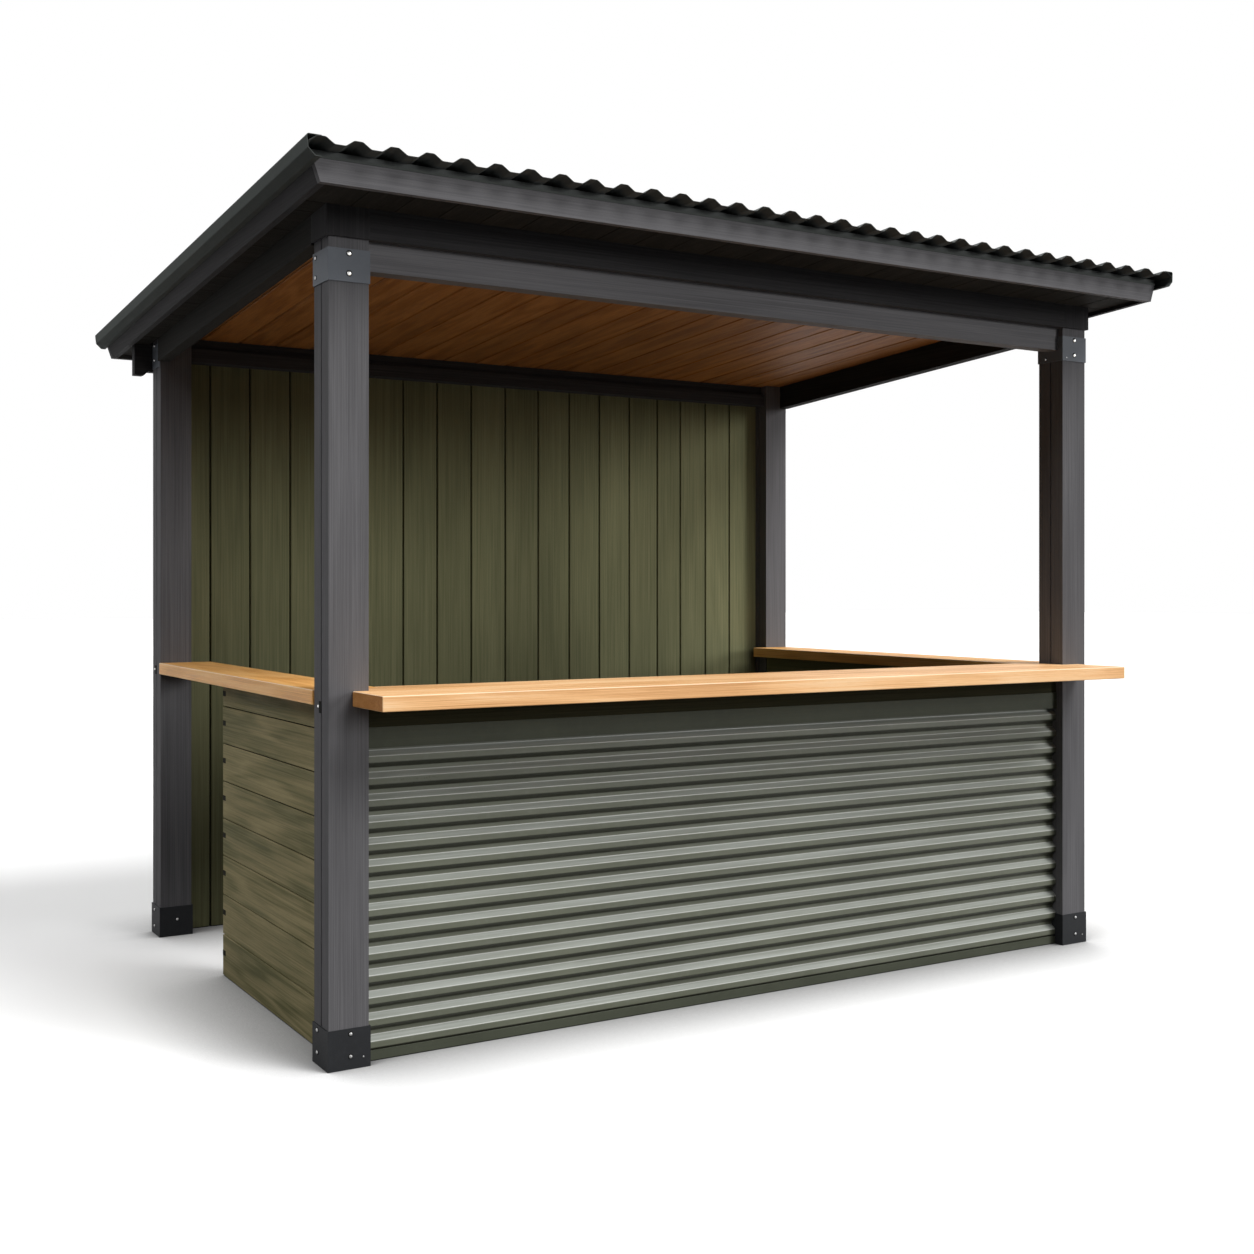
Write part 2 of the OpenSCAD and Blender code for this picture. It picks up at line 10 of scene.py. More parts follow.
import json
import logging
import math
import random
from dataclasses import dataclass
from enum import Enum
from functools import cached_property
from itertools import cycle
from typing import Any, Sequence

import bmesh
import bpy
from mathutils import Matrix, Vector

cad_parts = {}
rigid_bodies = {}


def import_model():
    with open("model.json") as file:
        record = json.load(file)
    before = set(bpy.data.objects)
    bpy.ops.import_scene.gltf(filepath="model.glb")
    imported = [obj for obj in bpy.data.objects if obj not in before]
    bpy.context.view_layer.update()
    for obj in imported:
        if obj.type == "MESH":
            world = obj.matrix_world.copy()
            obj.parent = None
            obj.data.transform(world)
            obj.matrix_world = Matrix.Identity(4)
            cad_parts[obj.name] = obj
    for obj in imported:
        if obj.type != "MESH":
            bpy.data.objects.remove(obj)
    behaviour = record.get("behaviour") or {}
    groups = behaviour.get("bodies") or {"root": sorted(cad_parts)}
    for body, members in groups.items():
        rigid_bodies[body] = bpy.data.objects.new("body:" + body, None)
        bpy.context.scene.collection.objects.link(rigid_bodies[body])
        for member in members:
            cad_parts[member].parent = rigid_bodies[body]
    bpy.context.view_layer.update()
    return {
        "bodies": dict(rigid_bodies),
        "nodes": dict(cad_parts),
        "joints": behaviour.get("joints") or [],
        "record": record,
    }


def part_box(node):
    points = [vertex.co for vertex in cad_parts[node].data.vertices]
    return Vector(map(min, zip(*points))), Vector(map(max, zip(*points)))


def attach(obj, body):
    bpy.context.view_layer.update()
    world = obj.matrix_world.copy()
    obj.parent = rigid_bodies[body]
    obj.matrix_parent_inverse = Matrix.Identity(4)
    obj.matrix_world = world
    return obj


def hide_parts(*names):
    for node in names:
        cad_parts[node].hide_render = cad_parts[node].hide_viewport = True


LOG = logging.getLogger("pavilion")
Colour = tuple[float, float, float]
Point = tuple[float, float, float]
Profile = tuple[tuple[float, float], ...]

BLACK = (0.0, 0.0, 0.0)
WHITE = (1.0, 1.0, 1.0)


def shade(colour: Colour) -> Colour:
    """Linear colour of a display colour whose red, green and blue are given from 0 to 255."""
    parts = [level / 255.0 for level in colour]
    return tuple(v / 12.92 if v <= 0.04045 else ((v + 0.055) / 1.055) ** 2.4 for v in parts)


def scaled(colour: Colour, *factors: float) -> Colour:
    """A colour times one factor, or times one each for red, green and blue."""
    return tuple(part * factor for part, factor in zip(colour, cycle(factors)))


class Axis(Enum):
    """Direction that a timber's grain runs in."""

    X = 0
    Y = 1
    Z = 2


# Shader graphs


@dataclass(frozen=True)
class Wire:
    """A shader socket that takes part in sums."""

    sheet: "Sheet"
    socket: Any

    def math(self, operation: str, *values: Any) -> "Wire":
        """Adds a Math node with this operation and these inputs."""
        return self.sheet.add("ShaderNodeMath", {"operation": operation}, *values)

    def __add__(self, other: Any) -> "Wire":
        """Sum."""
        return self.math("ADD", self, other)

    def __radd__(self, other: Any) -> "Wire":
        """Sum, from the left."""
        return self.math("ADD", other, self)

    def __sub__(self, other: Any) -> "Wire":
        """Difference."""
        return self.math("SUBTRACT", self, other)

    def __rsub__(self, other: Any) -> "Wire":
        """Difference, from the left."""
        return self.math("SUBTRACT", other, self)

    def __mul__(self, other: Any) -> "Wire":
        """Product."""
        return self.math("MULTIPLY", self, other)

    def __rmul__(self, other: Any) -> "Wire":
        """Product, from the left."""
        return self.math("MULTIPLY", other, self)

    def span(self, low: float, high: float, to_low: float = 0.0, to_high: float = 1.0) -> "Wire":
        """Maps the values between low and high to another span, and clamps the rest."""
        return self.sheet.add("ShaderNodeMapRange", {}, self, low, high, to_low, to_high)


class Sheet:
    """The node sheet of a material or of the world."""

    def __init__(self, owner: bpy.types.Material | bpy.types.World) -> None:
        """Starts an empty sheet.

        Args:
            owner: The new material or world.
        """
        owner.use_nodes = True
        self.owner = owner
        self.nodes = owner.node_tree.nodes
        self.links = owner.node_tree.links
        self.nodes.clear()

    def _feed(self, socket: bpy.types.NodeSocket, value: Any) -> None:
        """Feeds an input.

        Args:
            socket: The input.
            value: A wire to link to it, or the input's own value.
        """
        if isinstance(value, Wire):
            self.links.new(value.socket, socket)
        elif isinstance(value, tuple) and len(value) == 3 and socket.type == "RGBA":
            socket.default_value = (*value, 1.0)
        else:
            socket.default_value = value

    def add(self, kind: str, settings: dict[str, Any], *values: Any, out: int | str = 0,
            **named: Any) -> Wire:
        """Adds any node.

        Args:
            kind: The node's type.
            settings: Properties, set before the inputs; stops holds a ramp's (place, colour) pairs.
            values: Inputs in the order of the node's sockets, as numbers, tuples or wires.
            out: Which output to return.
            named: Inputs by socket name, with _ for a space.

        Returns:
            The wire of the chosen output.
        """
        node = self.nodes.new(kind)
        for key, value in settings.items():
            if key != "stops":
                setattr(node, key, value)
                continue
            while len(node.color_ramp.elements) < len(value):
                node.color_ramp.elements.new(0.5)
            for element, (place, colour) in zip(node.color_ramp.elements, value):
                element.position, element.color = place, (*colour, 1.0)
        for index, value in enumerate(values):
            if value is not None:
                self._feed(node.inputs[index], value)
        for key, value in named.items():
            self._feed(node.inputs[key.replace("_", " ")], value)
        return Wire(self, node.outputs[out] if len(node.outputs) else None)

    def blend(self, share: Any, first: Any, second: Any, how: str = "MIX") -> Wire:
        """Mixes two colours.

        Args:
            share: How much of the second colour shows.
            first: A colour or wire.
            second: A colour or wire.
            how: The blend type.

        Returns:
            The mixed colour's wire.
        """
        node = self.nodes.new("ShaderNodeMix")
        node.data_type, node.blend_type = "RGBA", how
        colours = [item for item in node.inputs if item.type == "RGBA"]
        for socket, value in zip((node.inputs[0], *colours), (share, first, second)):
            self._feed(socket, value)
        return Wire(self, next(item for item in node.outputs if item.type == "RGBA"))

    def place(self) -> Wire:
        """The point in the object's own coordinates."""
        return self.add("ShaderNodeTexCoord", {}, out="Object")

    def up(self) -> Wire:
        """How far the surface faces up, from -1 to 1."""
        facing = self.add("ShaderNodeNewGeometry", {}, out="Normal")
        return self.add("ShaderNodeSeparateXYZ", {}, facing, out="Z")

    def grain(self, point: Wire, axis: Axis, along: float, across: float) -> Wire:
        """The point scaled unequally, along and across an axis."""
        scale = tuple(along if item is axis else across for item in Axis)
        return self.add("ShaderNodeMapping", {}, point, None, None, scale)

    def noise(self, point: Wire, scale: float, detail: float, rough: float = 0.5,
              twist: float = 0.0) -> Wire:
        """Noise from about 0.25 to 0.75, with detail as its octaves and rough as their weight."""
        return self.add("ShaderNodeTexNoise", {}, Vector=point, Scale=scale, Detail=detail,
                        Roughness=rough, Distortion=twist)

    def relief(self, height: Wire, depth: float) -> Wire:
        """Bump whose height from 0 to 1 is this many metres deep."""
        return self.add("ShaderNodeBump", {}, Strength=1.0, Distance=depth, Height=height)

    def seen(self) -> Wire:
        """1 on rays that show the picture itself, a gloss or a clear body, and 0 on all others."""
        path = self.nodes.new("ShaderNodeLightPath")
        camera, glossy, clear = (Wire(self, path.outputs[f"Is {kind} Ray"])
                                 for kind in ("Camera", "Glossy", "Transmission"))
        return (camera + glossy + clear).span(0.0, 1.0)

    def finish(self, **inputs: Any) -> None:
        """Ends the sheet in a Principled shader with these inputs, named with _ for a space."""
        surface = self.add("ShaderNodeBsdfPrincipled", {}, **inputs)
        self.add("ShaderNodeOutputMaterial", {}, surface)


# Finishes


@dataclass(frozen=True)
class Finish:
    """A finish, whose material is made when it is first used."""

    name: str

    @cached_property
    def material(self) -> bpy.types.Material:
        """The finish's material."""
        made = bpy.data.materials.new(self.name)
        self.build(Sheet(made))
        return made

    def build(self, sheet: Sheet) -> None:
        """Draws the shader of this kind of finish on a material's empty sheet."""
        raise NotImplementedError


@dataclass(frozen=True)
class Streak:
    """A noise drawn out along the grain."""

    length: float
    width: float
    detail: float
    rough: float = 0.5
    twist: float = 0.0

    def read(self, sheet: Sheet, point: Wire, axis: Axis, fine: float = 1.0) -> Wire:
        """The noise at a point, with its width scaled by fine."""
        drawn = sheet.grain(point, axis, 1.0 / self.length, 1.0 / (self.width * fine))
        return sheet.noise(drawn, 1.0, self.detail, self.rough, self.twist)


WANDER = Streak(1.1, 0.10, 2.0)
RIPPLE = Streak(0.30, 0.02, 3.0)
FIBRE = Streak(0.55, 0.006, 5.0, 0.62, 0.25)
PORE = Streak(0.05, 0.0011, 3.0, 0.6)
CLOUD = Streak(0.9, 0.16, 3.0, 0.55)
KNOT_LENGTH, KNOT_WIDTH = 0.34, 0.12
RINGS = 26.0
BOARD_STEPS = (7.3, 11.9, 5.1)
BOARD_SEED = 91.7
# Colour of the painted highlight on eased upper edges.
PAINTED_ARRIS_HIGHLIGHT = (1.0, 0.86, 0.66)


@dataclass(frozen=True)
class Timber(Finish):
    """A stained or oiled timber with grain along one axis.

    deep, body and light are its display colours; figure is the share of growth-ring figure; fleck
    is the share of fine pores; shift is how far the boards differ in tone; boards says that the
    piece carries a number for each board; fine scales the width of the streaks, contrast says how
    far apart their colours are, and arris how much lighter the eased upper edges
    are painted, a painted highlight where they would catch the light.
    """

    deep: Colour
    body: Colour
    light: Colour
    grain: Axis
    figure: float = 0.35
    fleck: float = 0.5
    shift: float = 0.12
    rough: tuple[float, float] = (0.45, 0.65)
    relief: float = 0.0005
    boards: bool = False
    knots: float = 0.0
    worn: float = 0.0
    gloss: float = 0.15
    fine: float = 1.0
    contrast: float = 1.0
    arris: float = 0.0

    def build(self, sheet: Sheet) -> None:
        """Draws the shader.

        Args:
            sheet: The material's empty sheet.
        """
        point = sheet.place()
        if self.boards:
            board = sheet.add("ShaderNodeAttribute", {"attribute_name": "board"}, out="Fac")
            moved = sheet.add("ShaderNodeCombineXYZ", {}, *(board * step for step in BOARD_STEPS))
            point = sheet.add("ShaderNodeVectorMath", {"operation": "ADD"}, point, moved)
        deep, body, light = map(shade, (self.deep, self.body, self.light))
        turns = WANDER.read(sheet, point, self.grain) * RINGS
        turns = turns + RIPPLE.read(sheet, point, self.grain) * 1.2
        rings = turns.math("SINE", turns).span(-1.0, 1.0)
        fibre = FIBRE.read(sheet, point, self.grain, self.fine).span(0.28, 0.72)
        pores = PORE.read(sheet, point, self.grain).span(0.50, 0.74)
        cloud = CLOUD.read(sheet, point, self.grain).span(0.3, 0.7)
        tone = fibre * (0.72 - self.figure * 0.5) + rings * (self.figure * 0.55) + cloud * 0.28
        low, high = 0.5 - 0.38 / self.contrast, 0.5 + 0.42 / self.contrast
        stops = [(low, deep), (0.5, body), (high, light)]
        colour = sheet.add("ShaderNodeValToRGB", {"stops": stops}, tone)
        colour = sheet.blend(pores * self.fleck, colour, deep)
        if self.knots > 0.0:
            drawn = sheet.grain(point, self.grain, 1.0 / KNOT_LENGTH, 1.0 / KNOT_WIDTH)
            spot = sheet.add("ShaderNodeTexVoronoi", {"feature": "F1"}, out="Distance",
                             Vector=drawn, Scale=1.0, Randomness=1.0)
            halo = spot.span(self.knots * 0.30, self.knots * 0.08) * 0.35
            eye = spot.span(self.knots * 0.10, self.knots * 0.04) * 0.85
            colour = sheet.blend(halo, colour, deep)
            colour = sheet.blend(eye, colour, scaled(deep, 0.3, 0.25, 0.2))
        if self.boards:
            lift = sheet.add("ShaderNodeTexWhiteNoise", {"noise_dimensions": "1D"}, None,
                             board * BOARD_SEED)
            level = lift.span(0.0, 1.0, 1.0 - self.shift, 1.0 + self.shift)
            grey = sheet.add("ShaderNodeCombineXYZ", {}, level, level, level)
            colour = sheet.blend(1.0, colour, grey, "MULTIPLY")
        if self.worn > 0.0:
            rub = sheet.noise(point, 9.0, 6.0, 0.7).span(0.58, 0.70) * self.worn
            colour = sheet.blend(rub, colour, light)
        # Painted highlight: eased upper edges are made lighter, as where they would catch the
        # light.
        if self.arris > 0.0:
            up = sheet.up()
            edge = up.span(0.15, 0.35) * up.span(0.97, 0.80)
            colour = sheet.blend(edge * self.arris, colour, PAINTED_ARRIS_HIGHLIGHT)
        rough = (fibre * 0.6 + cloud * 0.4).span(0.0, 1.0, *self.rough)
        bump = fibre * 0.55 + rings * (self.figure * 0.4) - pores * 0.45
        sheet.finish(Base_Color=colour, Roughness=rough, Normal=sheet.relief(bump, self.relief),
                     Specular_IOR_Level=self.gloss)


MOTTLE_SCALE, SPOT_SCALE, PEEL_SCALE = 3.1, 34.0, 160.0
WIPE_ALONG, WIPE_ACROSS = 1.6, 60.0
# Colours of the painted highlight on bends and of the painted shade on undersides.
PAINTED_GLINT = (0.80, 0.81, 0.78)
PAINTED_UNDER_SHADE = (0.02, 0.02, 0.012)


@dataclass(frozen=True)
class CoatedMetal(Finish):
    """Paint or powder coat over sheet or plate, with a faint mottle and a little dust.

    paint and dust are display colours; settled is how much dust lies on what faces
    up, partly a painted light from above, and how much painted shade darkens the undersides;
    glint is how light the painted highlight on the bends below a crest is.
    """

    paint: Colour
    dust: Colour
    rough: tuple[float, float]
    dusty: float = 0.14
    gloss: float = 0.1
    streaks: Axis | None = None
    settled: float = 0.0
    glint: float = 0.0
    mottle: float = 0.12
    peel: float = 0.00012

    def build(self, sheet: Sheet) -> None:
        """Draws the shader.

        Args:
            sheet: The material's empty sheet.
        """
        point = sheet.place()
        broad = sheet.noise(point, MOTTLE_SCALE, 4.0, 0.6).span(0.3, 0.7)
        fine = sheet.noise(point, PEEL_SCALE, 2.0).span(0.3, 0.7)
        spots = sheet.noise(point, SPOT_SCALE, 6.0, 0.66).span(0.52, 0.78)
        paint, dust = shade(self.paint), shade(self.dust)
        dark, light = (scaled(paint, 1.0 + part) for part in (-self.mottle, self.mottle))
        colour = sheet.blend(broad, dark, light)
        colour = sheet.blend(spots * self.dusty, colour, dust)
        wipe = broad
        if self.streaks is not None:
            drawn = sheet.grain(point, self.streaks, WIPE_ALONG, WIPE_ACROSS)
            wipe = sheet.noise(drawn, 1.0, 4.0, 0.6).span(0.35, 0.7)
            colour = sheet.blend(wipe * self.dusty, colour, dust)
        # Painted light and shade: lighter dust on up faces, a glint on bends, shade below.
        if self.settled > 0.0:
            up = sheet.up()
            dust_and_top_light = up.span(0.35, 0.85) * (wipe * 0.5 + 0.75) * self.settled
            colour = sheet.blend(dust_and_top_light, colour, dust)
            glint_band = up.span(0.10, 0.30) * up.span(0.70, 0.50)
            colour = sheet.blend(glint_band * self.glint, colour, PAINTED_GLINT)
            colour = sheet.blend(up.span(0.05, -0.60) * self.settled * 1.5, colour, PAINTED_UNDER_SHADE)
        rough = (broad * 0.4 + fine * 0.25 + wipe * 0.35).span(0.0, 1.0, *self.rough)
        sheet.finish(Base_Color=colour, Roughness=rough, Normal=sheet.relief(fine, self.peel),
                     Specular_IOR_Level=self.gloss)


@dataclass(frozen=True)
class BrightMetal(Finish):
    """Bare plated steel of bolts, its colour linear, with turning marks and a faint tarnish."""

    metal: Colour
    rough: tuple[float, float]
    marks: float = 220.0
    marks_depth: float = 0.00004

    def build(self, sheet: Sheet) -> None:
        """Draws the shader.

        Args:
            sheet: The material's empty sheet.
        """
        tarnish = sheet.noise(sheet.place(), self.marks, 4.0, 0.6).span(0.35, 0.75)
        colour = sheet.blend(tarnish * 0.6, self.metal, scaled(self.metal, 0.62, 0.6, 0.56))
        sheet.finish(Base_Color=colour, Roughness=tarnish.span(0.0, 1.0, *self.rough),
                     Metallic=1.0, Normal=sheet.relief(tarnish, self.marks_depth))


@dataclass(frozen=True)
class Shadowed(Finish):
    """A dull, nearly black display colour, mostly painted shade in joints, slots and notches."""

    colour: Colour
    clouds: float = 40.0

    def build(self, sheet: Sheet) -> None:
        """Draws the shader.

        Args:
            sheet: The material's empty sheet.
        """
        cloud = sheet.noise(sheet.place(), self.clouds, 4.0, 0.6).span(0.3, 0.7)
        colour = sheet.blend(cloud, scaled(shade(self.colour), 0.7), shade(self.colour))
        sheet.finish(Base_Color=colour, Roughness=0.85, Specular_IOR_Level=0.05)


STAIN = {"figure": 0.2, "fleck": 0.3, "relief": 0.0004}
MATT, DULL = (0.6, 0.75), (0.65, 0.8)
CHARCOAL = Timber("charcoal_timber_z", (84, 83, 85), (95, 94, 96), (106, 105, 107), Axis.Z,
                  rough=MATT, gloss=0.04, fine=0.5, contrast=1.4, **STAIN)
# Lighter copy of the charcoal stain: painted light on the fascias and front beam.
LIT_CHARCOAL = Timber("charcoal_painted_light", (92, 91, 93), (107, 106, 108), (121, 120, 122),
                        Axis.X, rough=MATT, gloss=0.04, fine=0.7, **STAIN)
SHADED_CHARCOAL = {
    axis: Timber(f"charcoal_shaded_{axis.name.lower()}", (36, 35, 36), (50, 49, 50), (63, 62, 63),
                 axis, rough=DULL, gloss=0.05, **STAIN)
    for axis in Axis
}
# Darkest copy of the charcoal stain: painted shade on the side beams.
DEEP_SHADE_CHARCOAL = Timber("charcoal_deep_shade", (26, 25, 24), (38, 37, 35), (50, 48, 46), Axis.Y,
                       rough=DULL, gloss=0.03, **STAIN)
DARK_BOARD = {
    axis: Timber(f"soffit_board_{axis.name.lower()}", (22, 20, 18), (34, 32, 29), (48, 45, 41),
                 axis, figure=0.3, fleck=0.4, rough=DULL, boards=True, shift=0.16, gloss=0.02)
    for axis in (Axis.X, Axis.Y)
}
OLIVE = {
    axis: Timber(f"olive_board_{axis.name.lower()}", (92, 93, 68), (105, 105, 77), (116, 115, 86),
                 axis, figure=0.2, fleck=0.2, rough=MATT, boards=True, shift=0.10, gloss=0.05,
                 contrast=1.3)
    for axis in Axis
}
# Darker copy of the olive stain: painted shade under the bar tops.
OLIVE_SHADE_DARKENED = {
    axis: Timber(f"olive_shaded_timber_{axis.name.lower()}", (32, 32, 21), (46, 45, 31), (58, 56, 40),
                 axis, figure=0.2, fleck=0.3, rough=(0.6, 0.78), gloss=0.04)
    for axis in (Axis.X, Axis.Z)
}
WEATHERED = Timber("olive_weathered_board", (88, 87, 58), (130, 122, 89), (160, 148, 112),
                   Axis.Y, figure=0.5, fleck=0.35, rough=(0.6, 0.78), boards=True, shift=0.07,
                   worn=0.08, gloss=0.06, contrast=1.3)
CEDAR = Timber("cedar_board", (112, 70, 30), (148, 96, 48), (176, 122, 68), Axis.Y,
               figure=0.5, fleck=0.3, rough=(0.5, 0.65), boards=True, shift=0.16, knots=0.5,
               gloss=0.16, contrast=1.2)
# Bar-top oak, with a painted highlight on its eased upper edges.
OAK = {
    axis: Timber(f"oak_board_{axis.name.lower()}", *colours, axis, figure=0.4, fleck=0.35,
                 rough=(0.4, 0.55), relief=0.0003, boards=True, shift=0.03, knots=0.35, gloss=0.2,
                 fine=0.28, contrast=1.3, arris=0.7)
    for axis, *colours in (
        (Axis.X, (200, 144, 88), (242, 189, 132), (253, 216, 170)),
        (Axis.Y, (198, 136, 68), (238, 176, 100), (250, 202, 134)),
    )
}
OAK_END = Timber("oak_end_x", (150, 96, 48), (182, 126, 72), (206, 152, 98), Axis.X,
                 figure=0.3, fleck=0.5, rough=(0.5, 0.65), relief=0.0003, gloss=0.08, fine=0.5)
PINE = Timber("batten_timber", (170, 138, 92), (204, 172, 122), (224, 196, 148), Axis.X)
ROOF_METAL = CoatedMetal("roof_metal", (80, 83, 82), (116, 120, 118), (0.55, 0.7),
                         gloss=0.04, streaks=Axis.Y)
EAVE_METAL = CoatedMetal("eave_metal", (78, 81, 79), (106, 110, 108), (0.6, 0.75),
                         gloss=0.03, streaks=Axis.X)
FLASHING = CoatedMetal("flashing_metal", (78, 82, 80), (106, 110, 108), (0.6, 0.75),
                       dusty=0.12, gloss=0.03, streaks=Axis.Y)
# Sage paint, with painted light on its up faces and bends and painted shade below.
SAGE = CoatedMetal("sage_metal", (92, 95, 80), (168, 172, 168), (0.26, 0.4), dusty=0.06,
                   gloss=0.26, streaks=Axis.X, settled=0.58, glint=0.45)
# Darker copy of the sage paint: partly painted shade under the bar top.
TRIM_METAL_SHADED = CoatedMetal("trim_metal_shaded", (68, 71, 60), (112, 115, 104), (0.4, 0.55),
                         dusty=0.06, gloss=0.07, streaks=Axis.X, settled=0.3)
SHOE_STEEL = CoatedMetal("black_steel", (38, 39, 41), (70, 71, 73), (0.5, 0.65))
PLATE_STEEL = CoatedMetal("plate_steel", (100, 104, 110), (124, 128, 132), (0.42, 0.58))
BOLT_STEEL = BrightMetal("bolt_steel", (0.72, 0.72, 0.70), (0.3, 0.45))
DULL_STEEL = BrightMetal("dull_steel", (0.30, 0.30, 0.30), (0.35, 0.5))
# Nearly black: dark washers and painted shade in the posts' slots.
DARK_WASHER_AND_SLOT_SHADE = Shadowed("dark_washer_and_slot_shade", (22, 22, 20))
# Painted shade behind open joints and at notches.
JOINT_DARK = Shadowed("joint_shadow", (26, 25, 19))
# Painted shade behind the ceiling's open joints.
CEDAR_DARK = Shadowed("cedar_joint_shadow", (38, 22, 10))


# Site and mesh helpers


@dataclass(frozen=True)
class Site:
    """Main sizes of the pavilion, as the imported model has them.

    sheet_n is how far the roofing sheets lie over the ceiling's underside, square to the roof.
    """

    half_w: float = 1.525
    depth: float = 2.030
    post_w: float = 0.120
    ring_z: float = 2.366
    bar_z: float = 1.075
    bar_t: float = 0.044
    pitch: float = math.radians(3.3)
    ceiling_rise: float = 0.106
    sheet_n: float = 0.050
    lift: float = 0.003
    shoe: float = 0.0049
    shoe_h: float = 0.1165
    fit: float = 0.0003

    @property
    def mid(self) -> float:
        """Distance from the posts' front face to the model's own middle."""
        return -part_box("post_front_left")[0].y

    @property
    def inner_x(self) -> float:
        """Distance from the centre line to a post's inner face."""
        return self.half_w - self.post_w

    @property
    def inner_back_y(self) -> float:
        """Front face of the back posts."""
        return self.depth - self.post_w

    @property
    def bar_under(self) -> float:
        """Height of the bar tops' underside."""
        return self.bar_z - self.bar_t

    def ceiling_under(self, y: float) -> float:
        """Height of the ceiling's underside at y."""
        return self.ring_z + self.ceiling_rise - y * math.tan(self.pitch)

    @property
    def place(self) -> Matrix:
        """Moves the plan into the model's frame."""
        return Matrix.Translation((0.0, -self.mid, 0.0))

    @property
    def roof(self) -> Matrix:
        """Lays what is drawn flat on the plane under the roofing sheets."""
        height = self.ring_z + self.ceiling_rise + self.sheet_n / math.cos(self.pitch)
        lifted = self.place @ Matrix.Translation((0.0, 0.0, height))
        return lifted @ Matrix.Rotation(-self.pitch, 4, "X")


class Bench:
    """A mesh in the making, to which boards, prisms and turned pieces are added."""

    number_step = 0.137

    def __init__(self, name: str, ease: float = 0.0, rounds: int = 1) -> None:
        """Starts an empty mesh.

        Args:
            name: Name of the piece.
            ease: Size of the eased edges of what has the first material.
            rounds: Steps round an eased edge.
        """
        self.name, self.ease, self.rounds = name, ease, rounds
        self.mesh = bmesh.new()
        self.number = self.mesh.verts.layers.float.new("board")
        self.count = 0

    def _mark(self, verts: Sequence[bmesh.types.BMVert], material: int) -> None:
        """Ends a new part of the mesh: its board number, its material and its eased edges.

        Args:
            verts: The part's points.
            material: Material slot; only parts with the first one have eased edges.
        """
        self.count += 1
        for vert in verts:
            vert[self.number] = self.count * self.number_step
            for face in vert.link_faces:
                face.material_index = material
        if self.ease > 0.0 and material == 0:
            edges = list({edge for vert in verts for edge in vert.link_edges})
            bmesh.ops.bevel(self.mesh, geom=edges, offset=self.ease, offset_type="OFFSET",
                            segments=self.rounds, affect="EDGES", profile=0.5, material=-1,
                            clamp_overlap=True)

    def board(self, low: Point, high: Point, material: int = 0) -> None:
        """Adds a board.

        Args:
            low: Lowest corner on the plan.
            high: Highest corner on the plan.
            material: Material slot.
        """
        a, b = Vector(low), Vector(high)
        matrix = Matrix.Translation((a + b) / 2) @ Matrix.Diagonal((*(b - a), 1.0))
        self._mark(bmesh.ops.create_cube(self.mesh, size=1.0, matrix=matrix)["verts"], material)

    def prism(self, outline: Sequence[Point], run: Point) -> None:
        """Adds a flat outline drawn out along a straight run.

        Args:
            outline: Its corner points.
            run: The run's vector.
        """
        base = self.mesh.faces.new([self.mesh.verts.new(point) for point in outline])
        drawn = bmesh.ops.extrude_face_region(self.mesh, geom=[base], use_keep_orig=True)
        tops = [item for item in drawn["geom"] if isinstance(item, bmesh.types.BMVert)]
        bmesh.ops.translate(self.mesh, verts=tops, vec=run)
        made = list(base.verts) + tops
        faces = list({face for vert in made for face in vert.link_faces})
        bmesh.ops.recalc_face_normals(self.mesh, faces=faces)
        self._mark(made, 0)

    def turned(self, profile: Profile, foot: Point, facing: Point, steps: int = 14,
               material: int = 0) -> None:
        """Adds a piece turned about an axis.

        Args:
            profile: (radius, height) points from the foot's rim to the tip on the axis.
            foot: Where the axis meets the face that carries the piece.
            facing: Direction that the piece faces.
            steps: Steps round the piece.
            material: Material slot.
        """
        for vert in self.mesh.verts:
            vert.tag = True
        verts = [self.mesh.verts.new((radius, 0.0, height)) for radius, height in profile]
        edges = [self.mesh.edges.new(pair) for pair in zip(verts, verts[1:])]
        bmesh.ops.spin(self.mesh, geom=verts + edges, cent=(0, 0, 0), axis=(0, 0, 1),
                       dvec=(0, 0, 0), angle=math.tau, steps=steps, use_merge=True,
                       use_duplicate=False)
        made = [vert for vert in self.mesh.verts if not vert.tag]
        bmesh.ops.remove_doubles(self.mesh, verts=made, dist=1e-6)
        made = [vert for vert in self.mesh.verts if not vert.tag]
        faces = list({face for vert in made for face in vert.link_faces})
        bmesh.ops.recalc_face_normals(self.mesh, faces=faces)
        turn = Vector((0.0, 0.0, 1.0)).rotation_difference(Vector(facing)).to_matrix().to_4x4()
        bmesh.ops.transform(self.mesh, matrix=Matrix.Translation(foot) @ turn, verts=made)
        for face in faces:
            face.smooth = True
        self._mark(made, material)

    def finish(self, matrix: Matrix, finishes: Sequence[Finish], slot: str, *nodes: str) -> None:
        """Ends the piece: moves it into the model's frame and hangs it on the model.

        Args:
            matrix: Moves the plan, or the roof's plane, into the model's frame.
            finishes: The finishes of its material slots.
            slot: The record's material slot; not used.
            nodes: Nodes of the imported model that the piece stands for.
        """
        bmesh.ops.transform(self.mesh, matrix=matrix, verts=self.mesh.verts[:])
        data = bpy.data.meshes.new(self.name)
        self.mesh.to_mesh(data)
        self.mesh.free()
        for finish in finishes:
            data.materials.append(finish.material)
        piece = bpy.data.objects.new(self.name, data)
        bpy.context.scene.collection.objects.link(piece)
        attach(piece, "root")
        if nodes:
            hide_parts(*nodes)
        LOG.info("%s: %d faces", self.name, len(data.polygons))


